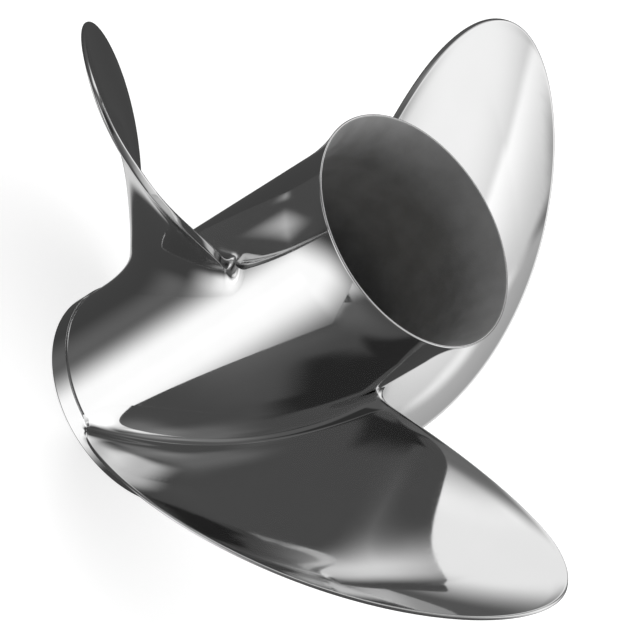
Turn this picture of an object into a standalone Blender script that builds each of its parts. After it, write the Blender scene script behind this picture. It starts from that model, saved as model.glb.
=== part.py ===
"""Three-bladed boat propeller with an exhaust passage through its hub.

The propeller stands on the flat forward face of its hub, with the shaft axis along Z and the
after end up. The origin is the solids' centroid: it lies on the shaft axis, CENTROID_HEIGHT above
the forward face. Blade 1 has its tip towards +X. Heights below are measured from the forward
face, and angles about the axis are counter-clockwise, seen from the after end.
"""

import bmesh
import bpy
import numpy as np

# Driving dimensions, in metres and degrees.
CENTROID_HEIGHT = 0.0838

# Outer barrel of the hub.
HUB_LENGTH = 0.1937
BARREL_RADIUS = 0.0551
BARREL_WALL = 0.0035
FORWARD_RING_STAND = 0.0006
FORWARD_RING_WIDTH = 0.0080
RING_GROOVE_WIDTH = 0.0010
RING_GROOVE_DEPTH = 0.0005
RING_CHAMFER = 0.0006
FLARE_LENGTH = 0.0290
FLARE_RISE = 0.0047
RIM_WALL = 0.0013

# Blades. A tuple holds a value at the root, at the tip and at even steps between them.
BLADE_COUNT = 3
TIP_RADIUS = 0.1854
LEADING_EDGE_ROOT_HEIGHT = 0.0079
BLADE_HALF_ANGLE = (42.6, 42.9, 40.1, 33.0)
BLADE_SKEW = (-29.3, -20.2, 0.0)
BLADE_PITCH = (0.496, 0.480, 0.480, 0.431)
BLADE_RAKE_RISE = (0.0, 0.0281, 0.0638, 0.1115)
ROOT_THICKNESS = 0.0080
TIP_THICKNESS = 0.0028
THICKNESS_FALL = 1.35
LEADING_EDGE_THICKNESS = 0.0014
LEADING_EDGE_ROUND = 0.0010
TRAILING_EDGE_THICKNESS = 0.0027
TRAILING_EDGE_ROUND = 0.0006
CUP_RISE = 0.0020
CUP_WIDTH = 0.0110
FACE_FILLET = 0.0095
EDGE_FILLET = 0.0040

# Inner hub, its ribs and what sits in it.
INNER_HUB_RADIUS = 0.0340
INNER_HUB_RECESS = 0.0060
INNER_HUB_LENGTH = 0.1140
SOCKET_ACROSS_FLATS = 0.0460
SOCKET_SQUARENESS = 9.0
SOCKET_WEB = 0.0160
WEB_HOLE_RADIUS = 0.0180
RIB_COUNT = 3
RIB_THICKNESS = 0.0050
RIB_SETBACK = 0.0080
RIB_LENGTH = 0.0900
RIB_TURN = 30.0
SEAT_GAP = 0.0003
SLEEVE_RECESS = 0.0045
ADAPTER_RADIUS = 0.0165
ADAPTER_FLANGE_RADIUS = 0.0200
ADAPTER_FLANGE_THICKNESS = 0.0030
ADAPTER_STAND_OUT = 0.0040
SPLINE_TEETH = 15
SPLINE_TOOTH_RADIUS = 0.0124
SPLINE_ROOT_RADIUS = 0.0138

# How fine the facets are, and how far joined shapes run into each other.
HUB_STEPS = 72
SPLINE_STEPS = 8
FLARE_STEPS = 6
FLANK_STEPS = 12
EDGE_STEPS = 4
EDGE_SQUARENESS = 4.0
SPAN_STEPS = 15
TIP_CLOSING_ANGLE = 88.5
FILLET_STATIONS = (0.07, 0.22, 0.45, 0.72)
JOINT_OVERLAP = 0.0015


def clear_scene():
    """Removes whatever the file holds."""
    for thing in list(bpy.data.objects):
        bpy.data.objects.remove(thing, do_unlink=True)


def material(name, color, metallic, roughness):
    """A Principled material with one colour."""
    made = bpy.data.materials.new(name)
    made.use_nodes = True
    shader = made.node_tree.nodes["Principled BSDF"]
    shader.inputs["Base Color"].default_value = (*color, 1.0)
    shader.inputs["Metallic"].default_value = metallic
    shader.inputs["Roughness"].default_value = roughness
    return made


def add_object(name, points, faces, finish, parent):
    """A mesh object from points and faces, triangulated, with its faces pointing out."""
    mesh = bpy.data.meshes.new(name)
    mesh.from_pydata(points.tolist(), [], faces)
    shaped = bmesh.new()
    shaped.from_mesh(mesh)
    bmesh.ops.recalc_face_normals(shaped, faces=shaped.faces)
    bmesh.ops.triangulate(shaped, faces=shaped.faces)
    shaped.to_mesh(mesh)
    shaped.free()
    mesh.materials.append(finish)
    mesh.shade_smooth()
    mesh.set_sharp_from_angle(angle=np.radians(35))
    made = bpy.data.objects.new(name, mesh)
    made.parent = parent
    bpy.context.scene.collection.objects.link(made)
    return made


def as_guide(guide):
    """Marks an object that only lends its shape to another one."""
    guide.hide_render = True
    guide.display_type = "WIRE"
    return guide


def join(target, shape):
    """Joins the shape to the target with a Boolean modifier."""
    step = target.modifiers.new("join_" + shape.name, "BOOLEAN")
    step.operation = "UNION"
    step.solver = "EXACT"
    step.object = as_guide(shape)


def circle(radius, height, steps=HUB_STEPS):
    """A level circle about the axis, as an array of points."""
    turn = np.linspace(0.0, 2.0 * np.pi, steps, endpoint=False)
    return outline(np.full(steps, radius), height, turn)


def rounded_square(across_flats, height):
    """A level square with rounded corners: the superellipse |x|^n + |y|^n = (half side)^n."""
    turn = np.linspace(0.0, 2.0 * np.pi, HUB_STEPS, endpoint=False)
    power = SOCKET_SQUARENESS
    spread = (np.abs(np.cos(turn)) ** power + np.abs(np.sin(turn)) ** power) ** (1.0 / power)
    return outline(across_flats / 2.0 / spread, height, turn)


def splined_circle(height):
    """A level ring of teeth: the radius swings between tooth and root as a flattened wave."""
    steps = SPLINE_TEETH * SPLINE_STEPS
    turn = np.linspace(0.0, 2.0 * np.pi, steps, endpoint=False)
    wave = np.clip(1.6 * np.cos(SPLINE_TEETH * turn), -1.0, 1.0)
    middle = (SPLINE_ROOT_RADIUS + SPLINE_TOOTH_RADIUS) / 2.0
    swing = (SPLINE_ROOT_RADIUS - SPLINE_TOOTH_RADIUS) / 2.0
    return outline(middle + swing * wave, height, turn)


def outline(radii, height, turn):
    """Level points at the given radii and angles."""
    return np.stack([radii * np.cos(turn), radii * np.sin(turn), np.full(len(turn), height)], 1)


def ring_solid(name, loops, finish, parent):
    """A solid ring: loops of equal length, each joined to the next and the last to the first."""
    count = len(loops[0])
    points = np.concatenate(loops)
    faces = []
    for row in range(len(loops)):
        after = (row + 1) % len(loops)
        for step in range(count):
            beside = (step + 1) % count
            faces.append((row * count + step, row * count + beside,
                          after * count + beside, after * count + step))
    return add_object(name, points, faces, finish, parent)


def flare_loops(base_radius, end_radius):
    """Circles along the flare: the radius grows with the square of the way along it."""
    loops = []
    for way in np.linspace(0.0, 1.0, FLARE_STEPS + 1):
        height = HUB_LENGTH - FLARE_LENGTH * (1.0 - way)
        loops.append(circle(base_radius + (end_radius - base_radius) * way**2, height))
    return loops


def outer_barrel(finish, parent):
    """The barrel with its forward ring and groove, and the flare at its after end."""
    inside = BARREL_RADIUS - BARREL_WALL
    ring = BARREL_RADIUS + FORWARD_RING_STAND
    rim = BARREL_RADIUS + FLARE_RISE
    groove_start = FORWARD_RING_WIDTH
    groove_end = FORWARD_RING_WIDTH + RING_GROOVE_WIDTH
    loops = [
        circle(ring - RING_CHAMFER, 0.0),
        circle(ring, RING_CHAMFER),
        circle(ring, groove_start),
        circle(BARREL_RADIUS - RING_GROOVE_DEPTH, groove_start),
        circle(BARREL_RADIUS - RING_GROOVE_DEPTH, groove_end),
        circle(BARREL_RADIUS, groove_end),
    ]
    loops += flare_loops(BARREL_RADIUS, rim)
    loops += flare_loops(inside, rim - RIM_WALL)[::-1]
    loops.append(circle(inside, 0.0))
    return ring_solid("propeller_casting", loops, finish, parent)


def inner_hub(finish, parent):
    """The tube in the barrel, with a square socket that a web closes but for its hole."""
    top = INNER_HUB_RECESS + INNER_HUB_LENGTH
    web = top - SOCKET_WEB
    loops = [
        circle(INNER_HUB_RADIUS, INNER_HUB_RECESS),
        circle(INNER_HUB_RADIUS, top),
        circle(WEB_HOLE_RADIUS, top),
        circle(WEB_HOLE_RADIUS, web),
        rounded_square(SOCKET_ACROSS_FLATS, web),
        rounded_square(SOCKET_ACROSS_FLATS, INNER_HUB_RECESS),
    ]
    return ring_solid("inner_hub_shape", loops, finish, parent)


def rib(number, finish, parent):
    """A flat rib from the inner hub to the barrel, turned about the axis to its place."""
    near = INNER_HUB_RADIUS - JOINT_OVERLAP
    far = BARREL_RADIUS - BARREL_WALL + JOINT_OVERLAP
    low = INNER_HUB_RECESS + RIB_SETBACK
    points = []
    for height in (low, low + RIB_LENGTH):
        for radius, side in ((near, -0.5), (far, -0.5), (far, 0.5), (near, 0.5)):
            points.append((radius, side * RIB_THICKNESS, height))
    faces = [(0, 1, 2, 3), (4, 5, 6, 7), (0, 1, 5, 4), (1, 2, 6, 5), (2, 3, 7, 6), (3, 0, 4, 7)]
    made = add_object(f"rib_{number}_shape", np.array(points), faces, finish, parent)
    made.rotation_euler.z = np.radians(RIB_TURN + 360.0 * (number - 1) / RIB_COUNT)
    return made


def along_span(stations, span):
    """The polynomial through values at even steps of the span, by Lagrange's formula."""
    knots = np.linspace(0.0, 1.0, len(stations))
    total = np.zeros_like(span)
    for place, value in enumerate(stations):
        weight = np.ones_like(span)
        for other, knot in enumerate(knots):
            if other != place:
                weight = weight * (span - knot) / (knots[place] - knot)
        total = total + value * weight
    return total


def blade_spans():
    """Span fractions of the blade's sections, from inside the wall to just short of the tip."""
    reach = TIP_RADIUS - BARREL_RADIUS
    sunk = -JOINT_OVERLAP / reach
    fillet = [FACE_FILLET * share / reach for share in FILLET_STATIONS]
    first = np.arcsin(FACE_FILLET / reach)
    free = np.sin(np.linspace(first, np.radians(TIP_CLOSING_ANGLE), SPAN_STEPS))
    return np.concatenate([[sunk], fillet, free])


def section_loop():
    """The way round a section: along the pressure face, the trailing edge, the back and the
    leading edge. For each point it gives the share of the chord (-1 to 1), the share of the
    thickness on its side (1 pressure face, -1 back) and how far it stands past the chord's end.
    The trailing edge is squared with soft corners, by a superellipse; the leading edge is round."""
    chord = np.linspace(-1.0, 1.0, FLANK_STEPS + 1)
    bend = np.linspace(0.5 * np.pi, -0.5 * np.pi, EDGE_STEPS + 2)[1:-1]
    square = 2.0 / EDGE_SQUARENESS
    rise = np.sign(np.sin(bend)) * np.abs(np.sin(bend)) ** square
    share = np.concatenate([chord, np.ones(len(bend)), chord[::-1], -np.ones(len(bend))])
    ones = np.ones(len(chord))
    side = np.concatenate([ones, rise, -ones, -np.sin(bend)])
    past = np.concatenate([0.0 * ones, np.cos(bend) ** square, 0.0 * ones, -np.cos(bend)])
    return share, side, past


def face_point(span, turn_share):
    """A point of the pressure face, given by its share of the span and of the chord. On the
    unrolled cylinder the chord is a straight line with the pitch's slope. The cup lifts its
    last stretch by a parabola, and the line starts that much lower at the trailing edge."""
    radius = BARREL_RADIUS + (TIP_RADIUS - BARREL_RADIUS) * span
    half_angle = np.radians(along_span(BLADE_HALF_ANGLE, span)) * np.sqrt(1.0 - span**2)
    slope = along_span(BLADE_PITCH, span) / (2.0 * np.pi)
    root_middle = (LEADING_EDGE_ROOT_HEIGHT
                   + np.radians(BLADE_HALF_ANGLE[0]) * BLADE_PITCH[0] / (2.0 * np.pi))
    middle = root_middle + along_span(BLADE_RAKE_RISE, span)
    turn = np.radians(along_span(BLADE_SKEW, span)) + half_angle * turn_share
    to_edge = half_angle * (1.0 - turn_share) * np.hypot(radius, slope)
    curl = np.clip(1.0 - to_edge / CUP_WIDTH, 0.0, 1.0) ** 2
    lift = CUP_RISE * (1.0 - span**4) * (curl - (1.0 + turn_share) / 2.0)
    height = middle + slope * half_angle * turn_share + lift
    point = np.stack([radius * np.cos(turn), radius * np.sin(turn), height], -1)
    return point, slope / radius, turn


def unit(vectors):
    """Vectors scaled to length 1."""
    return vectors / np.linalg.norm(vectors, axis=-1, keepdims=True)


def blade_points():
    """Rings of the blade's skin, one for each section, offset from the pressure face by the
    thickness and, near the root, by the fillet, which is a quarter circle against the barrel.
    The offset runs along the cylinder about the axis at the root, so that the fillet ends on
    the barrel, and square to the face further out."""
    span, share = np.broadcast_arrays(blade_spans()[:, None], section_loop()[0][None, :])
    inner = np.clip(span, 0.0, 1.0)
    side, past = (loop[None, :] for loop in section_loop()[1:])
    point, steepness, turn = face_point(inner, share)
    point[..., :2] *= ((BARREL_RADIUS + (TIP_RADIUS - BARREL_RADIUS) * span)
                       / np.hypot(point[..., 0], point[..., 1]))[..., None]

    step = 1e-4
    out_from = face_point(np.clip(inner - step, 0.0, 1.0), share)[0]
    outward = face_point(np.clip(inner + step, 0.0, 1.0), share)[0] - out_from
    toward_edge = face_point(inner, share + step)[0] - face_point(inner, share - step)[0]
    square_off = unit(np.cross(outward, toward_edge))
    square_off *= np.sign(square_off[..., 2:])
    square_past = unit(np.cross(outward, square_off))
    square_past *= np.sign(np.sum(square_past * toward_edge, -1, keepdims=True))

    round_about = np.stack([-np.sin(turn), np.cos(turn), np.zeros_like(turn)], -1)
    up = np.array([0.0, 0.0, 1.0])
    tilt = np.arctan(steepness)[..., None]
    level_off = up * np.cos(tilt) - round_about * np.sin(tilt)
    level_past = round_about * np.cos(tilt) + up * np.sin(tilt)
    reach = np.clip((span * (TIP_RADIUS - BARREL_RADIUS) - FACE_FILLET) / FACE_FILLET, 0.0, 1.0)
    blend = (reach**2 * (3.0 - 2.0 * reach))[..., None]
    off = unit(level_off * (1.0 - blend) + square_off * blend)
    beyond = unit(level_past * (1.0 - blend) + square_past * blend)

    lead = (1.0 - share) / 2.0
    trail = (1.0 + share) / 2.0
    thick = TIP_THICKNESS + (ROOT_THICKNESS - TIP_THICKNESS) * (1.0 - inner) ** THICKNESS_FALL
    edge = LEADING_EDGE_THICKNESS * lead + TRAILING_EDGE_THICKNESS * trail
    crown = np.maximum(thick - edge, 0.0) * (1.0 - share**2)
    middle = LEADING_EDGE_THICKNESS * lead / 2.0 - edge / 2.0
    rounding = LEADING_EDGE_ROUND * lead + TRAILING_EDGE_ROUND * trail
    bend = FACE_FILLET * side**2 + EDGE_FILLET * (1.0 - side**2)
    height = np.clip(span * (TIP_RADIUS - BARREL_RADIUS), FACE_FILLET * FILLET_STATIONS[0], bend)
    fillet = bend - np.sqrt(bend**2 - (bend - height) ** 2)
    across = middle + side * (edge / 2.0 + fillet) - np.where(side < -0.99, crown, 0.0)
    along = past * (rounding + fillet) - share * rounding * lead
    return point + off * across[..., None] + beyond * along[..., None]


def blade(number, finish, parent):
    """One blade: rings of skin joined to each other, and closed at the root and the tip."""
    rings = blade_points()
    rows, count = rings.shape[:2]
    faces = []
    for row in range(rows - 1):
        for step in range(count):
            beside = (step + 1) % count
            faces.append((row * count + step, row * count + beside,
                          (row + 1) * count + beside, (row + 1) * count + step))
    face_end = FLANK_STEPS
    back_start = FLANK_STEPS + EDGE_STEPS + 1
    back_end = back_start + FLANK_STEPS
    for first in (0, (rows - 1) * count):
        for step in range(FLANK_STEPS):
            faces.append((first + step, first + step + 1,
                          first + back_end - step - 1, first + back_end - step))
        faces.append([first + step for step in range(face_end, back_start + 1)])
        faces.append([first + step for step in range(back_end, count)] + [first])
    made = add_object(f"blade_{number}_shape", rings.reshape(-1, 3), faces, finish, parent)
    made.rotation_euler.z = -2.0 * np.pi * (number - 1) / BLADE_COUNT
    return made


def propeller_casting(finish, parent):
    """The one casting: barrel, inner hub, ribs and blades, joined."""
    casting = outer_barrel(finish, parent)
    join(casting, inner_hub(finish, parent))
    for number in range(1, RIB_COUNT + 1):
        join(casting, rib(number, finish, parent))
    for number in range(1, BLADE_COUNT + 1):
        join(casting, blade(number, finish, parent))
    return casting


def drive_sleeve(finish, parent):
    """The square sleeve in the inner hub's socket, which takes up knocks on the blades."""
    low = INNER_HUB_RECESS + SLEEVE_RECESS
    top = INNER_HUB_RECESS + INNER_HUB_LENGTH - SOCKET_WEB - SEAT_GAP
    side = SOCKET_ACROSS_FLATS - 2.0 * SEAT_GAP
    bore = ADAPTER_RADIUS + SEAT_GAP
    loops = [rounded_square(side, low), rounded_square(side, top), circle(bore, top), circle(bore, low)]
    return ring_solid("drive_sleeve", loops, finish, parent)


def splined_adapter(finish, parent):
    """The sleeve's core: a tube with internal splines, and a flange on the sleeve's forward end."""
    steps = SPLINE_TEETH * SPLINE_STEPS
    seat = INNER_HUB_RECESS + SLEEVE_RECESS - SEAT_GAP
    low = seat - ADAPTER_FLANGE_THICKNESS
    top = INNER_HUB_RECESS + INNER_HUB_LENGTH + ADAPTER_STAND_OUT
    loops = [
        circle(ADAPTER_FLANGE_RADIUS, low, steps),
        circle(ADAPTER_FLANGE_RADIUS, seat, steps),
        circle(ADAPTER_RADIUS, seat, steps),
        circle(ADAPTER_RADIUS, top, steps),
        splined_circle(top),
        splined_circle(low),
    ]
    return ring_solid("splined_adapter", loops, finish, parent)


def main():
    """Builds the propeller."""
    clear_scene()
    base = bpy.data.objects.new("forward_face", None)
    base.location.z = -CENTROID_HEIGHT
    bpy.context.scene.collection.objects.link(base)
    stainless = material("polished_stainless", (0.62, 0.61, 0.60), 1.0, 0.12)
    plastic = material("moulded_plastic", (0.05, 0.05, 0.055), 0.0, 0.45)
    brass = material("machined_brass", (0.72, 0.53, 0.26), 1.0, 0.30)
    propeller_casting(stainless, base)
    drive_sleeve(plastic, base)
    splined_adapter(brass, base)


main()
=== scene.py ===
"""A polished three-bladed boat propeller, standing on the forward face of its hub.

Lengths are in metres, angles in degrees where a value is named, and radians in the formulas.
Heights in the functions are measured from the forward face, and angles about the shaft axis are
counter-clockwise, seen from the after end. Blade 1 has its tip towards +X.
"""

import math

import bmesh
import bpy
import numpy as np
from mathutils import Matrix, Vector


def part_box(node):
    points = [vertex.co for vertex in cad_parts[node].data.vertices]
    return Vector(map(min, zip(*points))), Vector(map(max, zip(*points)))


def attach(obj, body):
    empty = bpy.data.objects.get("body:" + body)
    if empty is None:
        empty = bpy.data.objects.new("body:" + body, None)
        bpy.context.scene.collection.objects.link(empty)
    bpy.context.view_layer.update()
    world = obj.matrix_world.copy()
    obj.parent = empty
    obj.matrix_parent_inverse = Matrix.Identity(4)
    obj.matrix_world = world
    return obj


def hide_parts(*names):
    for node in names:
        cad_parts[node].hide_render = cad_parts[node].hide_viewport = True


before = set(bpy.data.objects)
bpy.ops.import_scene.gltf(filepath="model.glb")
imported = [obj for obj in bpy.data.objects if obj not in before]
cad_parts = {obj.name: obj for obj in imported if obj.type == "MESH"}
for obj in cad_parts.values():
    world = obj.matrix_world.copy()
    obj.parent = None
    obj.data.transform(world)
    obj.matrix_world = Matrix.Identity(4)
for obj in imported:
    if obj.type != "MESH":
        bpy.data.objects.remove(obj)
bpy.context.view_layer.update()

# What the frame gives: the casting's ends, the sleeve and the adapter.
FORWARD_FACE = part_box("propeller_casting")[0][2]
HUB_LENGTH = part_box("propeller_casting")[1][2] - FORWARD_FACE
SLEEVE_LOW, SLEEVE_TOP = (end[2] - FORWARD_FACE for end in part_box("drive_sleeve"))
SLEEVE_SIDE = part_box("drive_sleeve")[1][0]
ADAPTER_LOW, ADAPTER_TOP = (end[2] - FORWARD_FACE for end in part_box("splined_adapter"))
FLANGE_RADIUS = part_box("splined_adapter")[1][0]

# The barrel.
BARREL_RADIUS = 0.0551
BARREL_WALL = 0.0035
RING_STAND = 0.0006
RING_WIDTH = 0.0103
RING_RUN_OUT = 0.0010
GROOVE_WIDTH = 0.0010
GROOVE_DEPTH = 0.0005
FLARE_LENGTH = 0.0290
FLARE_RISE = 0.0047
RIM_WALL = 0.0013
EDGE_BREAK = 0.0006

# The blades. A tuple holds a value at the root, at the tip and at even steps between them.
BLADE_COUNT = 3
TIP_RADIUS = 0.1854
LEADING_EDGE_ROOT_HEIGHT = 0.0079
BLADE_HALF_ANGLE = (42.6, 42.9, 40.1, 33.0)
BLADE_SKEW = (-29.3, -20.2, 0.0)
BLADE_PITCH = (0.496, 0.480, 0.480, 0.431)
BLADE_RAKE_RISE = (0.0, 0.0281, 0.0638, 0.1115)
ROOT_THICKNESS = 0.0066
THICKNESS_FALL = 1.35
LEADING_EDGE_THICKNESS = 0.0016
LEADING_EDGE_ROUND = 0.0008
TRAILING_EDGE_THICKNESS = 0.0034
TRAILING_EDGE_ROUND = 0.0006
TIP_EDGE_THICKNESS = 0.0022
TIP_EDGE_ROUND = 0.0010
CUP_RISE = 0.0009
CUP_WIDTH = 0.0080
TRAILING_BEND = 0.0008
TRAILING_BEND_SPAN = 0.38
MIDDLE_BEND = 0.0010
MIDDLE_BEND_SPAN = 0.58
BEND_REACH = 0.42
FACE_FILLET = 0.0190
FACE_FILLET_HEIGHT = 0.0095
LEADING_FILLET = 0.0030
TRAILING_FILLET = 0.0115
FILLET_SOFTNESS = 2.7

# The inner hub, its socket and its ribs.
INNER_HUB_RADIUS = 0.0340
INNER_HUB_RECESS = 0.0060
INNER_HUB_LENGTH = 0.1140
SOCKET_SIDE = 0.0230
SOCKET_SQUARENESS = 9.0
SOCKET_WEB = 0.0160
WEB_HOLE_RADIUS = 0.0180
RIB_COUNT = 3
RIB_THICKNESS = 0.0050
RIB_SETBACK = 0.0080
RIB_LENGTH = 0.0900
RIB_TURN = 30.0
RIB_FILLET = 0.0030
RIB_NOSE = 0.0030

# The sleeve and the splined adapter.
ADAPTER_RADIUS = 0.0165
FLANGE_THICKNESS = 0.0030
SPLINE_TEETH = 15
SPLINE_TOOTH_RADIUS = 0.0124
SPLINE_ROOT_RADIUS = 0.0138
SEAT_GAP = 0.0003

# How fine the surfaces are, and how far the joined ones run into each other.
TURN_STEPS = 288
ARC_STEPS = 5
NO_ROUND = 1e-5
FLARE_STEPS = 25
RIB_STEPS = 40
NOSE_STEPS = 8
FACE_STEPS = 72
EDGE_STEPS = 10
FILLET_ROWS = 24
FOOT_ROWS = 5
SPAN_ROWS = 112
SUNK = 0.0018
FOOT_LIFT = 0.00002

# The camera, set as the photograph shows the propeller.
VIEW_AZIMUTH = 17.56
VIEW_ELEVATION = 37.83
VIEW_ROLL = 58.79
VIEW_DISTANCE = 2.990
VIEW_AIM = (0.01206, 0.00382, 0.11883)
VIEW_LENS = 358.3

# The polished steel: its darker and lighter tint, and how deep its marks are.
STEEL_TINTS = ((0.70, 0.70, 0.70), (0.74, 0.74, 0.74))
POLISH_DEPTH = 0.00012

# The studio. Each light has its azimuth from +X, its elevation, its roll, its half length and
# half width, all in degrees, the share of them over which it fades, and its brightness, which
# is negative where something dark stands in front. The room is darker below the horizon.
FLOOR_RADIUS = 11.0
FLOOR_DROP = 0.0002
DOME_RADIUS = 12.0
FLOOR_GLOW = 0.78
STAGE_STEPS = 96
FLOOR_ROWS = 3
DOME_ROWS = 25
ROOM_LIGHT = 0.065
ROOM_RISE = 0.05
ROOM_HORIZON = (-0.4, 0.1)
STUDIO_LIGHTS = {
    "side": (44.0, 30.0, -72.0, 72.0, 44.0, 0.90, 1.10),
    "side end": (-4.0, 56.0, -30.0, 17.0, 9.0, 0.30, 0.50),
    "far": (174.0, 31.0, 12.0, 33.0, 21.0, 0.60, 0.97),
    "far low": (-163.0, 12.0, 0.0, 16.0, 9.0, 1.00, 0.10),
    "far end": (-162.0, 46.0, 5.0, 18.0, 7.0, 1.00, 0.22),
    "table": (-90.0, -41.0, -38.0, 46.0, 33.0, 0.80, 1.30),
    "table edge": (-112.0, -20.0, -38.0, 36.0, 8.0, 0.80, 0.45),
    "table far": (-150.0, -42.0, 0.0, 24.0, 16.0, 1.00, 0.09),
    "low back": (112.0, -45.0, 20.0, 10.0, 7.0, 0.80, 0.60),
    "ceiling": (0.0, 90.0, 0.0, 28.5, 28.5, 0.10, 0.33),
    "top": (108.0, 71.0, -30.0, 32.0, 11.0, 1.00, 0.25),
    "wall": (-86.0, 15.0, -8.0, 28.0, 15.0, 0.70, 0.11),
    "low wall": (-110.0, 8.0, 0.0, 30.0, 12.0, 0.80, 0.15),
    "left wall": (-142.0, 38.0, 20.0, 30.0, 16.0, 0.90, 0.08),
    "front": (-87.0, -7.0, 8.0, 19.0, 9.0, 0.70, 0.75),
    "back": (114.0, 36.0, -20.0, 17.0, 9.0, 0.90, 1.10),
    "dark camera": (-76.0, 41.0, 0.0, 29.0, 9.0, 0.35, -0.08),
    "dark far": (161.0, 16.0, 12.0, 14.0, 9.0, 1.00, -0.26),
}
OVERHEAD_SIZE = 5.0
OVERHEAD_HEIGHT = 3.0
OVERHEAD_POWER = 120.0


def unit(vectors):
    """Vectors scaled to length 1."""
    return vectors / np.linalg.norm(vectors, axis=-1, keepdims=True)


def smooth_step(value):
    """0 below 0, 1 above 1, and the cubic 3t^2 - 2t^3 between them."""
    t = np.clip(value, 0.0, 1.0)
    return t * t * (3.0 - 2.0 * t)


def wave(value):
    """One sine wave from -1 to 1, and 0 outside."""
    return np.sin(np.pi * np.clip(value, -1.0, 1.0))


def to_mesh(name, points, faces, finish, attributes=()):
    """Puts points and faces into a mesh object: doubles merged, faces turned out, shaded smooth
    but for edges sharper than 40 degrees. Each attribute is a name and a value for each point."""
    mesh = bpy.data.meshes.new(name)
    flat = points.reshape(-1, 3) + np.array([0.0, 0.0, FORWARD_FACE])
    mesh.from_pydata(flat.tolist(), [], faces)
    for label, values in attributes:
        made = mesh.attributes.new(label, "FLOAT", "POINT")
        made.data.foreach_set("value", values.astype(np.float32).ravel())
    work = bmesh.new()
    work.from_mesh(mesh)
    bmesh.ops.remove_doubles(work, verts=work.verts, dist=2e-6)
    bmesh.ops.recalc_face_normals(work, faces=work.faces)
    work.to_mesh(mesh)
    work.free()
    mesh.shade_smooth()
    mesh.set_sharp_from_angle(angle=math.radians(40.0))
    mesh.materials.append(finish)
    piece = bpy.data.objects.new(name, mesh)
    bpy.context.scene.collection.objects.link(piece)
    return piece


def grid_faces(rows, columns, wrap_rows, wrap_columns):
    """Quads between neighbouring points of a grid, as an array of four indices each."""
    row = np.arange(rows if wrap_rows else rows - 1)[:, None]
    column = np.arange(columns if wrap_columns else columns - 1)[None, :]
    after, beside = (row + 1) % rows, (column + 1) % columns
    corners = [row * columns + column, row * columns + beside,
               after * columns + beside, after * columns + column]
    return np.stack(np.broadcast_arrays(*corners), -1).reshape(-1, 4).tolist()


def rounded(corners, radii):
    """A closed outline through the corners, each one replaced by an arc of its radius. The arc
    is the slerp between the two radii that touch the sides, so it has even steps."""
    corners, radii = np.array(corners), np.array(radii)
    before = unit(np.roll(corners, 1, 0) - corners)
    after = unit(np.roll(corners, -1, 0) - corners)
    half = np.arccos(np.clip((before * after).sum(1), -1.0, 1.0)) / 2.0
    centre = corners + unit(before + after) * (radii / np.sin(half))[:, None]
    start = corners + before * (radii / np.tan(half))[:, None] - centre
    end = corners + after * (radii / np.tan(half))[:, None] - centre
    sweep = np.pi - 2.0 * half
    share = np.linspace(0.0, 1.0, ARC_STEPS + 1)
    from_start = (np.sin((1.0 - share) * sweep[:, None]) / np.sin(sweep)[:, None])[..., None]
    from_end = (np.sin(share * sweep[:, None]) / np.sin(sweep)[:, None])[..., None]
    arcs = centre[:, None] + from_start * start[:, None] + from_end * end[:, None]
    return arcs.reshape(-1, corners.shape[1])


def filled_in(outline, spacing):
    """The closed outline with points added so that none of its steps is longer than spacing,
    and with one more close to each end of a long step, which keeps the shading of flats flat."""
    out = []
    for here, there in zip(outline, np.roll(outline, -1, 0)):
        length = np.linalg.norm(there - here)
        count = max(1, math.ceil(length / spacing))
        share = np.linspace(0.0, 1.0, count, endpoint=False)
        if length > 0.001:
            close = 0.0002 / length
            share = np.unique(np.concatenate([share, [close, 1.0 - close]]))
        out.append(here + (there - here) * share[:, None])
    return np.concatenate(out)


def turned(name, profile, finish, attributes=(), steps=TURN_STEPS, shape=None):
    """A closed profile (radius, height) turned about the shaft axis. Where a shape is given, it
    scales the radius of each profile point by angle."""
    turn = np.linspace(0.0, 2.0 * np.pi, steps, endpoint=False)[None, :]
    radius = profile[:, 0][:, None] * np.ones_like(turn)
    if shape is not None:
        radius = shape(profile, turn)
    height = profile[:, 1][:, None] * np.ones_like(turn)
    points = np.stack([radius * np.cos(turn), radius * np.sin(turn), height], -1)
    faces = grid_faces(len(profile), steps, True, True)
    spread = [(label, np.repeat(values, steps)) for label, values in attributes]
    return to_mesh(name, points, faces, finish, spread)


def flare_curve(base, end):
    """Points (radius, height) up the flare: the radius grows with the square of the way."""
    way = np.linspace(0.0, 1.0, FLARE_STEPS)
    return np.stack([base + (end - base) * way**2, HUB_LENGTH - FLARE_LENGTH * (1.0 - way)], 1)


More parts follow.
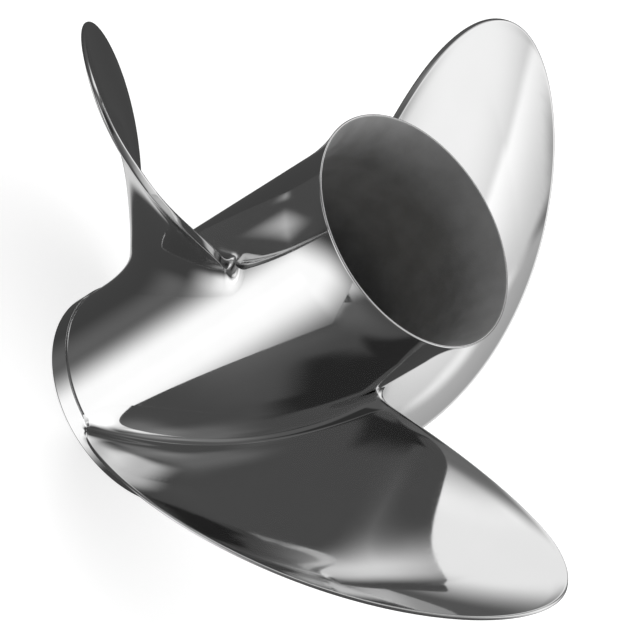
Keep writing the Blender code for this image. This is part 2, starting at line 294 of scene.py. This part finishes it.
def hub_barrel(finish):
    """The barrel, turned: forward ring, groove, straight wall, flare and rim, and the satin
    inner wall, which follows the outer one. Corners are broken by small arcs."""
    inside = BARREL_RADIUS - BARREL_WALL
    ring, rim = BARREL_RADIUS + RING_STAND, BARREL_RADIUS + FLARE_RISE
    floor = BARREL_RADIUS - GROOVE_DEPTH
    outer, inner = flare_curve(BARREL_RADIUS, rim), flare_curve(inside, rim - RIM_WALL)[::-1]
    groove_end = RING_WIDTH + GROOVE_WIDTH
    corners = [(inside, 0.0), (ring, 0.0), (ring, RING_WIDTH), (floor, RING_WIDTH),
               (floor, groove_end), (BARREL_RADIUS, groove_end)]
    radii = [EDGE_BREAK, EDGE_BREAK * 1.4, 0.0002, 0.0001, 0.0001, 0.0002]
    corners += [*outer[:-1].tolist(), (rim, HUB_LENGTH), (rim - RIM_WALL, HUB_LENGTH)]
    radii += [NO_ROUND] * (len(outer) - 1) + [RIM_WALL * 0.4, RIM_WALL * 0.4]
    corners += inner[1:].tolist()
    radii += [NO_ROUND] * (len(inner) - 1)
    profile = filled_in(rounded(corners, radii), 0.003)
    way = np.clip((profile[:, 1] - HUB_LENGTH + FLARE_LENGTH) / FLARE_LENGTH, 0.0, 1.0) ** 2
    outer_wall = BARREL_RADIUS + FLARE_RISE * way
    middle = outer_wall - (BARREL_WALL + (RIM_WALL - BARREL_WALL) * way) * 0.75
    satin = (profile[:, 0] < middle).astype(float)
    return turned("hub_barrel", profile, finish, [("satin", satin)])


def along_span(stations, span):
    """The polynomial through values at even steps of the span, by Lagrange's formula."""
    knots = np.linspace(0.0, 1.0, len(stations))
    total = np.zeros_like(span)
    for place, value in enumerate(stations):
        weight = np.ones_like(span)
        for other, knot in enumerate(knots):
            if other != place:
                weight = weight * (span - knot) / (knots[place] - knot)
        total = total + value * weight
    return total


def face_coordinates(rise, share):
    """Cylinder coordinates of the pressure face, for a rise angle (the span fraction is its
    sine) and a share of the chord, -1 at the leading edge and 1 at the trailing edge.

    The half angle of the chord is a cubic in the span times the cosine of the rise, so that the
    outline is a bent ellipse. The chord is a straight line on the unrolled cylinder, with the
    pitch's slope. The cup lifts its last stretch by a parabola, and two slight waves bend the
    trailing half and the middle. The face is drawn in from the leading edge by what its round
    stands past it."""
    span = np.sin(rise)
    radius = BARREL_RADIUS + (TIP_RADIUS - TIP_EDGE_ROUND - BARREL_RADIUS) * span
    slope = along_span(BLADE_PITCH, span) / (2.0 * np.pi)
    along = np.hypot(radius, slope)
    half_angle = np.radians(along_span(BLADE_HALF_ANGLE, span))
    inset = LEADING_EDGE_ROUND * (1.0 - share) / 2.0 / (half_angle * along)
    half_angle = half_angle * np.cos(rise) * (1.0 - inset)
    root_middle = (LEADING_EDGE_ROOT_HEIGHT
                   + math.radians(BLADE_HALF_ANGLE[0]) * BLADE_PITCH[0] / (2.0 * np.pi))
    middle = root_middle + along_span(BLADE_RAKE_RISE, span)
    turn = np.radians(along_span(BLADE_SKEW, span)) + half_angle * share
    curl = np.clip(1.0 - half_angle * (1.0 - share) * along / CUP_WIDTH, 0.0, 1.0) ** 2
    lift = CUP_RISE * (1.0 - span**12) * (curl - (1.0 + share) / 2.0)
    bend = (TRAILING_BEND * (1.0 + share) / 2.0
            * wave((span - TRAILING_BEND_SPAN) / BEND_REACH))
    bend = bend + MIDDLE_BEND * (1.0 - share**2) * wave((span - MIDDLE_BEND_SPAN) / BEND_REACH)
    return radius, turn, middle + slope * half_angle * share + lift - bend, slope


def from_cylinder(radius, turn, height):
    """Points from cylinder coordinates."""
    return np.stack([radius * np.cos(turn), radius * np.sin(turn), height], -1)


def face_frame(rise, share):
    """The unit normal of the pressure face and the direction in it that leads straight off the
    outline, both by central differences. They are read just short of the tip, where the
    chord's length would be nothing."""
    rise = np.clip(rise, 0.0, np.radians(89.4))
    step = 1e-4
    place = lambda a, b: from_cylinder(*face_coordinates(a, b)[:3])
    up_span = place(rise + step, share) - place(np.maximum(rise - step, 0.0), share)
    to_edge = place(rise, share + step) - place(rise, share - step)
    normal = unit(np.cross(up_span, to_edge))
    normal *= np.sign(normal[..., 2:])
    off_edge = unit(np.cross(up_span, normal))
    off_edge *= np.sign(np.sum(off_edge * to_edge, -1, keepdims=True))
    return normal, off_edge


def section_loop():
    """The way round a section: pressure face, trailing edge, back, leading edge. Each point has
    its share of the chord, its angle round the edge, from 90 on the pressure face to -90 on the
    back, and which edge it is on, 1 trailing, -1 leading and 0 neither. The shares lie closer
    together towards the edges: v + 0.15 sin(pi v)."""
    even = np.linspace(-1.0, 1.0, FACE_STEPS + 1)
    chord = even + 0.15 * np.sin(np.pi * even)
    bend = np.linspace(0.5 * np.pi, -0.5 * np.pi, EDGE_STEPS + 2)[1:-1]
    flat, arc = np.ones(len(chord)), np.ones(len(bend))
    share = np.concatenate([chord, arc, chord[::-1], -arc])
    angle = np.concatenate([flat * 0.5 * np.pi, bend, -flat * 0.5 * np.pi, bend[::-1]])
    edge = np.concatenate([flat * 0.0, arc, flat * 0.0, -arc])
    return share, angle, edge


def blade_rows(side, share):
    """Height above the barrel and outward reach of the fillet for each row and each point round
    the section. The fillet is a quarter superellipse that starts flat on the barrel and ends
    upright: as wide as high at the edges, and FACE_FILLET along the barrel by
    FACE_FILLET_HEIGHT up the blade on the faces, less towards both ends. Above it, the rise
    angle goes to 90 degrees in even steps. The rows at the start widen the foot inside the
    wall."""
    length = TIP_RADIUS - TIP_EDGE_ROUND - BARREL_RADIUS
    trail = (1.0 + share) / 2.0
    end = LEADING_FILLET + (TRAILING_FILLET - LEADING_FILLET) * trail
    middle = np.abs(side) * (1.0 - trail**4) * (1.0 - 0.7 * (1.0 - trail) ** 8)
    wide = (end + (FACE_FILLET - end) * middle)[None, :]
    tall = (end + (FACE_FILLET_HEIGHT - end) * middle)[None, :]
    swing = np.linspace(0.0, 0.5 * np.pi, FILLET_ROWS)[:, None]
    first = np.arcsin(tall / length)
    share = np.linspace(0.0, 1.0, SPAN_ROWS + 1)[1:, None]
    rise = first + (0.5 * np.pi - first) * share
    soft = 2.0 / FILLET_SOFTNESS
    up, out = 1.0 - np.cos(swing) ** soft, 1.0 - np.sin(swing) ** soft
    foot = np.linspace(0.0, 1.0, FOOT_ROWS)[:, None]
    height = np.concatenate([0.0 * foot * tall - SUNK, tall * up, length * np.sin(rise)])
    reach = np.concatenate([foot * wide, wide * out, 0.0 * rise])
    height[FOOT_ROWS] = FOOT_LIFT
    low = np.arcsin(np.clip(height[:-SPAN_ROWS] / length, 0.0, 1.0))
    return height, reach, np.concatenate([low, rise])


def blade_points():
    """The blade's skin, row by row: the pressure face offset by half the edge's thickness and
    the fillet, and the back by the thickness too, whose crown is a parabola over the chord.
    Edges are superellipses, square at the trailing edge and round at the leading edge, and
    both go over into one round edge at the tip. The offset follows the cylinder about the axis
    at the root, so that the fillet meets the barrel flat, and the face's normal further out."""
    share, angle, edge = (part[None, :] for part in section_loop())
    height, reach, rise = blade_rows(np.sin(angle[0]), share[0])
    share = share * np.ones_like(rise)
    radius, turn, level, slope = face_coordinates(rise, share)
    radius = BARREL_RADIUS + height
    span = np.sin(rise)

    at_tip = span**10
    lead, trail = (1.0 - share) / 2.0, (1.0 + share) / 2.0
    thin = LEADING_EDGE_THICKNESS * lead + TRAILING_EDGE_THICKNESS * trail
    thin = thin + (TIP_EDGE_THICKNESS - thin) * at_tip
    past = LEADING_EDGE_ROUND * lead + TRAILING_EDGE_ROUND * trail
    past = past + (TIP_EDGE_ROUND - past) * at_tip
    square = 2.0 / (2.0 * lead + 5.0 * trail + (2.5 - 2.0 * lead - 5.0 * trail) * at_tip)
    thick = (TIP_EDGE_THICKNESS
             + (ROOT_THICKNESS - TIP_EDGE_THICKNESS) * (1.0 - span) ** THICKNESS_FALL)
    crown = np.maximum(thick - thin, 0.0) * (1.0 - share**2) * (1.0 - span**12)

    square = square + (1.0 - square) * reach / (reach + thin / 2.0)
    side = np.sign(np.sin(angle)) * np.abs(np.sin(angle)) ** square
    beyond = np.abs(np.cos(angle)) ** square * edge
    middle = LEADING_EDGE_THICKNESS * lead * (1.0 - at_tip) / 2.0 - thin / 2.0
    across = middle + side * (thin / 2.0 + reach) - np.where(edge == 0, (side < 0) * crown, 0.0)
    along = beyond * (past + reach)

    long = np.hypot(radius, slope)
    around = (along * radius - across * slope) / long
    upward = (along * slope + across * radius) / long
    past_ring = smooth_step((level + upward - RING_WIDTH) / RING_RUN_OUT)
    stand = RING_STAND * (1.0 - past_ring) * np.minimum(reach / LEADING_FILLET, 1.0)
    level_points = from_cylinder(radius + stand, turn + around / radius, level + upward)
    normal, off_edge = face_frame(rise, share)
    square_points = (from_cylinder(radius, turn, level)
                     + normal * across[..., None] + off_edge * along[..., None])
    blend = smooth_step(height / FACE_FILLET - 0.6)[..., None]
    points = level_points * (1.0 - blend) + square_points * blend

    back = FACE_STEPS + EDGE_STEPS + 1
    points[-1, :FACE_STEPS + 1] = points[-1, 0]
    points[-1, back:back + FACE_STEPS + 1] = points[-1, back]
    points[-1, back + FACE_STEPS + 1:] = points[-1, FACE_STEPS + 1:back][::-1]
    return points


def blade(number, finish):
    """One blade: its skin, closed at the root inside the barrel's wall."""
    points = blade_points()
    rows, count = points.shape[:2]
    faces = grid_faces(rows, count, False, True)
    back = FACE_STEPS + EDGE_STEPS + 1
    for step in range(FACE_STEPS):
        faces.append([step, step + 1, back + FACE_STEPS - step - 1, back + FACE_STEPS - step])
    faces.append(list(range(FACE_STEPS, back + 1)))
    faces.append([*range(back + FACE_STEPS, count), 0])
    turn = -2.0 * np.pi * (number - 1) / BLADE_COUNT
    swing = np.array([[math.cos(turn), math.sin(turn), 0.0],
                      [-math.sin(turn), math.cos(turn), 0.0], [0.0, 0.0, 1.0]])
    return to_mesh(f"blade_{number}", points @ swing, faces, finish)


def squared(profile, turn, flag):
    """Radius by angle: the superellipse |x|^n + |y|^n = r^n where the flag is 1, else a circle."""
    power = SOCKET_SQUARENESS
    spread = (np.abs(np.cos(turn)) ** power + np.abs(np.sin(turn)) ** power) ** (1.0 / power)
    return profile[:, 0][:, None] * (1.0 + flag[:, None] * (1.0 / spread - 1.0))


def inner_hub(finish):
    """The tube in the barrel, turned, with a square socket below a web that has a round hole."""
    top = INNER_HUB_RECESS + INNER_HUB_LENGTH
    corners = [(INNER_HUB_RADIUS, INNER_HUB_RECESS), (INNER_HUB_RADIUS, top),
               (WEB_HOLE_RADIUS, top), (WEB_HOLE_RADIUS, top - SOCKET_WEB),
               (SOCKET_SIDE, top - SOCKET_WEB), (SOCKET_SIDE, INNER_HUB_RECESS)]
    profile = filled_in(rounded(corners, [0.0012, 0.0015, 0.0008, 0.0003, 0.0004, 0.0008]), 0.004)
    in_socket = profile[:, 1] < top - SOCKET_WEB + 0.0002
    flag = np.where(in_socket, smooth_step((INNER_HUB_RADIUS - 0.004 - profile[:, 0]) / 0.004), 0.0)
    flag = np.where(profile[:, 0] < WEB_HOLE_RADIUS + 0.001, 0.0, flag)
    return turned("inner_hub", profile, finish, shape=lambda p, t: squared(p, t, flag))


def rib(number, finish):
    """A rib between the inner hub and the barrel: a flat bar that swells by quarter-circle
    fillets where it meets them, with half-round noses at both ends, turned to its place."""
    near, far = INNER_HUB_RADIUS - SUNK, BARREL_RADIUS - BARREL_WALL + SUNK
    out = np.linspace(0.0, 1.0, RIB_STEPS)
    radius = near + (far - near) * out
    gap = np.minimum(radius - INNER_HUB_RADIUS, BARREL_RADIUS - BARREL_WALL - radius)
    close = np.clip(RIB_FILLET - gap, 0.0, RIB_FILLET)
    half = RIB_THICKNESS / 2.0 + RIB_FILLET - np.sqrt(RIB_FILLET**2 - close**2)
    low = INNER_HUB_RECESS + RIB_SETBACK
    nose = np.linspace(0.0, 0.5 * np.pi, NOSE_STEPS)
    ends = low + RIB_NOSE * (1.0 - np.sin(nose[::-1]))
    straight = np.linspace(low + RIB_NOSE, low + RIB_LENGTH - RIB_NOSE, 24)[1:-1]
    height = np.concatenate([ends, straight, 2.0 * low + RIB_LENGTH - ends[::-1]])
    depth = np.clip(np.minimum(height - low, low + RIB_LENGTH - height) / RIB_NOSE, 0.0, 1.0)
    width = np.sqrt(1.0 - (1.0 - depth) ** 2)[:, None]
    reach = np.concatenate([radius, radius[::-1]])[None, :] * np.ones_like(width)
    side = np.concatenate([-half, half[::-1]])[None, :] * width
    level = height[:, None] * np.ones_like(reach)
    turn = math.radians(RIB_TURN + 360.0 * (number - 1) / RIB_COUNT)
    points = np.stack([reach * math.cos(turn) - side * math.sin(turn),
                       reach * math.sin(turn) + side * math.cos(turn), level], -1)
    faces = grid_faces(len(height), 2 * len(out), False, True)
    return to_mesh(f"rib_{number}", points, faces, finish)


def drive_sleeve(finish):
    """The square sleeve in the socket, with a round bore and broken edges."""
    bore = ADAPTER_RADIUS + SEAT_GAP
    corners = [(SLEEVE_SIDE, SLEEVE_LOW), (SLEEVE_SIDE, SLEEVE_TOP),
               (bore, SLEEVE_TOP), (bore, SLEEVE_LOW)]
    profile = filled_in(rounded(corners, [0.0010, 0.0010, 0.0005, 0.0005]), 0.004)
    flag = smooth_step((profile[:, 0] - bore - 0.001) / 0.002)
    return turned("sleeve_of_plastic", profile, finish, shape=lambda p, t: squared(p, t, flag))


def splined_adapter(finish):
    """The sleeve's core, turned, with a flange. Its bore swings between tooth and root radius as
    a flattened wave, tanh(3 cos(n turn)), which fades out at the lead-in cones of both ends."""
    seat = ADAPTER_LOW + FLANGE_THICKNESS
    middle = (SPLINE_ROOT_RADIUS + SPLINE_TOOTH_RADIUS) / 2.0
    lead_in = SPLINE_ROOT_RADIUS - middle + 0.0004
    corners = [(FLANGE_RADIUS, ADAPTER_LOW), (FLANGE_RADIUS, seat), (ADAPTER_RADIUS, seat),
               (ADAPTER_RADIUS, ADAPTER_TOP), (middle + lead_in, ADAPTER_TOP),
               (middle, ADAPTER_TOP - lead_in), (middle, ADAPTER_LOW + lead_in),
               (middle + lead_in, ADAPTER_LOW)]
    radii = [0.0006, 0.0006, 0.0002, 0.0006, 0.0003, 0.0004, 0.0004, 0.0003]
    profile = filled_in(rounded(corners, radii), 0.003)
    inner = profile[:, 0] < middle + lead_in + 0.0001
    depth = np.minimum(profile[:, 1] - ADAPTER_LOW, ADAPTER_TOP - profile[:, 1])
    fade = np.where(inner, smooth_step(depth / lead_in), 0.0)[:, None]
    swing = (SPLINE_ROOT_RADIUS - SPLINE_TOOTH_RADIUS) / 2.0

    def splines(outline, turn):
        teeth = np.tanh(3.0 * np.cos(SPLINE_TEETH * turn)) / math.tanh(3.0)
        return outline[:, 0][:, None] + swing * teeth * fade

    return turned("adapter_of_brass", profile, finish, steps=SPLINE_TEETH * 24, shape=splines)


def add_node(tree, kind, settings, *values, **named):
    """Adds a node: its settings are set first, then its sockets by order or name, from a value
    or a link. A name's underscores stand for spaces."""
    node = tree.nodes.new(kind)
    for label, setting in settings.items():
        setattr(node, label, setting)
    given = list(enumerate(values))
    given += [(label.replace("_", " "), value) for label, value in named.items()]
    for label, value in given:
        if isinstance(value, Link):
            tree.links.new(value.socket, node.inputs[label])
        else:
            node.inputs[label].default_value = value
    return node


class Link:
    """A socket of a node. Writing + - * / ** on it adds the Math nodes for them."""

    def __init__(self, tree, socket):
        self.tree, self.socket = tree, socket

    def math(self, operation, *values):
        """A Math node's result."""
        node = add_node(self.tree, "ShaderNodeMath", {"operation": operation}, *values)
        return Link(self.tree, node.outputs[0])

    def __add__(self, other):
        return self.math("ADD", self, other)

    def __radd__(self, other):
        return self.math("ADD", other, self)

    def __sub__(self, other):
        return self.math("SUBTRACT", self, other)

    def __rsub__(self, other):
        return self.math("SUBTRACT", other, self)

    def __mul__(self, other):
        return self.math("MULTIPLY", self, other)

    def __rmul__(self, other):
        return self.math("MULTIPLY", other, self)

    def __truediv__(self, other):
        return self.math("DIVIDE", self, other)

    def __pow__(self, other):
        return self.math("POWER", self, other)

    def __abs__(self):
        return self.math("ABSOLUTE", self)

    def between(self, low, high):
        """0 below low, 1 above high, smooth between them."""
        node = add_node(self.tree, "ShaderNodeMapRange", {"interpolation_type": "SMOOTHSTEP"},
                        self, low, high)
        return Link(self.tree, node.outputs[0])


class Network:
    """A node tree, with short ways to add what its pattern needs."""

    def __init__(self, owner):
        owner.use_nodes = True
        self.owner, self.tree = owner, owner.node_tree

    def output(self, kind, settings, label, *values, **named):
        """A new node's output, by name or number."""
        return Link(self.tree, add_node(self.tree, kind, settings, *values, **named).outputs[label])

    def feed(self, node, label, value):
        """Feeds a socket of a node that is there already."""
        self.tree.links.new(value.socket, self.tree.nodes[node].inputs[label])

    def coordinates(self, label="Object"):
        """Texture coordinates of the given kind."""
        return self.output("ShaderNodeTexCoord", {}, label)

    def dot(self, vector, axis):
        """How far the vector goes along a unit axis."""
        return self.output("ShaderNodeVectorMath", {"operation": "DOT_PRODUCT"}, "Value",
                           vector, tuple(axis))


class Finish(Network):
    """A material with a Principled shader."""

    def __init__(self, name, **constants):
        super().__init__(bpy.data.materials.new(name))
        for label, value in constants.items():
            self.shader().inputs[label.replace("_", " ")].default_value = value

    def shader(self):
        """The Principled shader."""
        return self.tree.nodes["Principled BSDF"]

    def link(self, label, value):
        """Feeds a socket of the shader."""
        self.feed("Principled BSDF", label, value)

    def noise(self, size, detail=2.0):
        """Noise from 0 to 1, with grains of about the given size in metres."""
        return self.output("ShaderNodeTexNoise", {}, "Fac", self.coordinates(),
                           Scale=1.0 / size, Detail=detail)

    def marks(self, along, across, detail=2.0):
        """Noise from 0 to 1 drawn out round the shaft axis. Its grains are along metres long at
        the barrel and across metres wide. Its four coordinates are the cosine and the sine of
        the angle about the axis, the height and the radius."""
        place = add_node(self.tree, "ShaderNodeSeparateXYZ", {}, self.coordinates())
        x, y, z = (Link(self.tree, socket) for socket in place.outputs)
        radius = (x * x + y * y + 1e-9) ** 0.5
        reach = BARREL_RADIUS / along
        at = self.output("ShaderNodeCombineXYZ", {}, 0,
                         x / radius * reach, y / radius * reach, z * (1.0 / across))
        return self.output("ShaderNodeTexNoise", {"noise_dimensions": "4D"}, "Fac", at,
                           W=radius * (1.0 / across), Scale=1.0, Detail=detail)

    def color(self, mask, low, high):
        """A colour between two, by a mask."""
        return self.output("ShaderNodeMix", {"data_type": "RGBA"}, 2, mask,
                           A=(*low, 1.0), B=(*high, 1.0))

    def bump(self, height, distance):
        """Feeds the shader's normal from a height in 0 to 1, distance metres high."""
        node = add_node(self.tree, "ShaderNodeBump", {},
                        Strength=1.0, Distance=distance, Height=height)
        self.tree.links.new(node.outputs[0], self.shader().inputs["Normal"])


def polish(made):
    """What polishing leaves on the steel: the casting's long waves, fine marks round the axis,
    and streaks and smears where the gloss differs. Gives the roughness and the height in
    metres over POLISH_DEPTH."""
    waves = made.noise(0.045, 1.0) + made.noise(0.016, 1.0) * 0.10
    lines = made.marks(0.020, 0.0007, 3.0) * 0.006
    smears = made.noise(0.022, 4.0).between(0.40, 0.75)
    streaks = made.marks(0.030, 0.0016, 2.0).between(0.45, 0.80)
    return smears * 0.030 + streaks * 0.035 + 0.045, waves + lines


def polished_stainless():
    """Mirror-polished cast stainless steel."""
    made = Finish("polished_stainless", Metallic=1.0)
    roughness, height = polish(made)
    made.link("Base Color", made.color(made.noise(0.030, 4.0), *STEEL_TINTS))
    made.link("Roughness", roughness)
    made.bump(height, POLISH_DEPTH)
    return made.owner


def barrel_steel():
    """Polished outside, satin and slightly mottled inside."""
    made = Finish("barrel_steel", Metallic=1.0)
    satin = made.output("ShaderNodeAttribute", {"attribute_name": "satin"}, "Fac")
    roughness, height = polish(made)
    grain = made.noise(0.0006, 3.0)
    mottle = made.noise(0.009, 3.0).between(0.25, 0.75)
    inside = made.color(mottle * 0.7 + grain * 0.3, (0.56, 0.56, 0.56), (0.68, 0.68, 0.68))
    outside = made.color(made.noise(0.030, 4.0), *STEEL_TINTS)
    tint = made.output("ShaderNodeMix", {"data_type": "RGBA"}, 2, satin, A=outside, B=inside)
    dull = mottle * 0.06 + grain * 0.05 + 0.56
    made.link("Base Color", tint)
    made.link("Roughness", roughness * (1.0 - satin) + dull * satin)
    scratches = grain * 0.30 + made.marks(0.012, 0.0009, 2.0) * 0.10
    made.bump(height + satin * scratches, POLISH_DEPTH)
    return made.owner


def cast_steel():
    """Satin cast steel, for the inner hub and the ribs: grainy, with darker stains."""
    made = Finish("cast_steel", Metallic=1.0)
    grain, pits = made.noise(0.0005, 4.0), made.noise(0.0030, 2.0).between(0.58, 0.72)
    stain = made.noise(0.014, 4.0).between(0.35, 0.70)
    tint = made.color(stain * 0.6 + grain * 0.4, (0.27, 0.27, 0.27), (0.40, 0.40, 0.40))
    made.link("Base Color", tint)
    made.link("Roughness", grain * 0.18 + stain * 0.08 + 0.34)
    made.bump(grain * 0.5 - pits * 0.5, 0.00010)
    return made.owner


def moulded_plastic():
    """Black moulded plastic, with a fine grain and scuffs."""
    made = Finish("moulded_plastic", Specular_IOR_Level=0.5)
    grain, scuffs = made.noise(0.0004, 3.0), made.marks(0.010, 0.0006, 3.0).between(0.55, 0.80)
    made.link("Base Color", made.color(scuffs, (0.018, 0.018, 0.020), (0.040, 0.040, 0.043)))
    made.link("Roughness", grain * 0.16 + scuffs * 0.10 + 0.38)
    made.bump(grain, 0.00004)
    return made.owner


def machined_brass():
    """Machined brass, with turning marks and dull patches."""
    made = Finish("machined_brass", Metallic=1.0)
    rings, dull = made.marks(0.120, 0.0003, 2.0), made.noise(0.008, 4.0).between(0.35, 0.70)
    made.link("Base Color", made.color(dull, (0.62, 0.50, 0.29), (0.50, 0.40, 0.24)))
    made.link("Roughness", rings * 0.10 + dull * 0.14 + 0.16)
    made.bump(rings, 0.00002)
    return made.owner


def pale_floor():
    """The plain pale floor. It glows a little, so that shadows on it stay faint."""
    made = Finish("pale_floor", Roughness=0.9, Emission_Strength=FLOOR_GLOW)
    made.shader().inputs["Base Color"].default_value = (0.35, 0.35, 0.35, 1.0)
    made.shader().inputs["Emission Color"].default_value = (1.0, 1.0, 1.0, 1.0)
    return made.owner


def white_backdrop():
    """The even white of the backdrop."""
    made = Finish("white_backdrop", Roughness=1.0, Emission_Strength=1.0)
    made.shader().inputs["Base Color"].default_value = (0.0, 0.0, 0.0, 1.0)
    made.shader().inputs["Emission Color"].default_value = (1.0, 1.0, 1.0, 1.0)
    return made.owner


def build_pieces():
    """Makes the pieces, and says what each rides on, replaces and is finished as."""
    mirror, steel, cast = polished_stainless(), barrel_steel(), cast_steel()
    casting = [hub_barrel(steel), inner_hub(cast)]
    casting += [rib(number, cast) for number in range(1, RIB_COUNT + 1)]
    casting += [blade(number, mirror) for number in range(1, BLADE_COUNT + 1)]
    for piece in casting:
        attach(piece, "root")
        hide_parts("propeller_casting")
    sleeve = drive_sleeve(moulded_plastic())
    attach(sleeve, "root")
    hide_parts("drive_sleeve")
    adapter = splined_adapter(machined_brass())
    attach(adapter, "root")
    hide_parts("splined_adapter")


def soft_light(room, direction, azimuth, elevation, roll, half_length, half_width, softness):
    """How much of a light is seen in a direction, 0 to 1: a rectangle on the sphere, given in
    degrees, whose edges fade over a share of its half sizes. One side angle is the longitude
    about the light's upright, and the other is the latitude above its level."""
    turn, tilt, spin = math.radians(azimuth), math.radians(elevation), math.radians(roll)
    middle = np.array([math.cos(tilt) * math.cos(turn), math.cos(tilt) * math.sin(turn),
                       math.sin(tilt)])
    level = np.array([-math.sin(turn), math.cos(turn), 0.0])
    upright = np.cross(middle, level)
    length = level * math.cos(spin) + upright * math.sin(spin)
    width = upright * math.cos(spin) - level * math.sin(spin)
    sideways = room.dot(direction, length)
    along = abs(sideways.math("ARCTAN2", sideways, room.dot(direction, middle)))
    upwards = room.dot(direction, width)
    across = abs(upwards.math("ARCSINE", upwards))
    seen = 1.0
    for angle, half in ((along, math.radians(half_length)), (across, math.radians(half_width))):
        seen = (1.0 - angle.between(half * (1.0 - softness), half)) * seen
    return seen


def surroundings():
    """The studio round the propeller, by direction: a dim room and its soft lights."""
    room = Network(bpy.data.worlds.new("studio"))
    direction = room.coordinates("Generated")
    height = room.dot(direction, (0.0, 0.0, 1.0))
    light = height.between(*ROOM_HORIZON) * ROOM_RISE + ROOM_LIGHT
    for place in STUDIO_LIGHTS.values():
        *shape, brightness = place
        light = soft_light(room, direction, *shape) * brightness + light
    room.tree.nodes["Background"].inputs["Color"].default_value = (1.0, 1.0, 1.0, 1.0)
    room.feed("Background", "Strength", light)
    bpy.context.scene.world = room.owner


def overhead_light():
    """A wide light over the floor. It leaves no image in the metal."""
    lamp = bpy.data.lights.new("overhead", "AREA")
    lamp.shape, lamp.size, lamp.energy = "DISK", OVERHEAD_SIZE, OVERHEAD_POWER
    fitted = bpy.data.objects.new("overhead", lamp)
    fitted.location = (0.0, 0.0, FORWARD_FACE + OVERHEAD_HEIGHT)
    fitted.visible_glossy = False
    fitted.visible_camera = False
    bpy.context.scene.collection.objects.link(fitted)


def floor_and_backdrop():
    """A round floor, and a dome over it. Both are for the eye alone: the metal reflects the
    room behind them."""
    turn = np.linspace(0.0, 2.0 * np.pi, STAGE_STEPS, endpoint=False)[None, :]
    reach = np.linspace(0.0, FLOOR_RADIUS, FLOOR_ROWS)[:, None]
    disc = from_cylinder(reach * np.ones_like(turn), turn, reach * 0.0 * turn - FLOOR_DROP)
    floor = to_mesh("floor", disc, grid_faces(FLOOR_ROWS, STAGE_STEPS, False, True), pale_floor())
    height = np.linspace(-0.1, 0.5 * np.pi, DOME_ROWS)[:, None]
    dome_points = from_cylinder(DOME_RADIUS * np.cos(height) * np.ones_like(turn), turn,
                                DOME_RADIUS * np.sin(height) * np.ones_like(turn))
    dome_faces = grid_faces(DOME_ROWS, STAGE_STEPS, False, True)
    dome = to_mesh("backdrop", dome_points, dome_faces, white_backdrop())
    floor.visible_glossy = False
    dome.visible_glossy = dome.visible_diffuse = dome.visible_shadow = False
    dome.visible_transmission = False


def studio():
    """Floor, light and camera."""
    floor_and_backdrop()
    surroundings()
    overhead_light()
    bpy.context.scene.view_settings.view_transform = "Standard"

    turn, tilt = math.radians(VIEW_AZIMUTH), math.radians(VIEW_ELEVATION)
    back = np.array([math.sin(turn) * math.cos(tilt), -math.cos(turn) * math.cos(tilt),
                     math.sin(tilt)])
    level = unit(np.cross([0.0, 0.0, 1.0], back))
    upright = np.cross(back, level)
    roll = math.radians(VIEW_ROLL)
    up = upright * math.cos(roll) - level * math.sin(roll)
    right = level * math.cos(roll) + upright * math.sin(roll)
    aim = np.array(VIEW_AIM) + [0.0, 0.0, FORWARD_FACE]
    camera = bpy.data.objects.new("camera", bpy.data.cameras.new("camera"))
    camera.data.lens = VIEW_LENS
    camera.data.clip_end = 100.0
    matrix = np.eye(4)
    matrix[:3, 0], matrix[:3, 1], matrix[:3, 2] = right, up, back
    matrix[:3, 3] = aim + back * VIEW_DISTANCE
    camera.matrix_world = Matrix(matrix.tolist())
    bpy.context.scene.collection.objects.link(camera)
    bpy.context.scene.camera = camera


build_pieces()
studio()
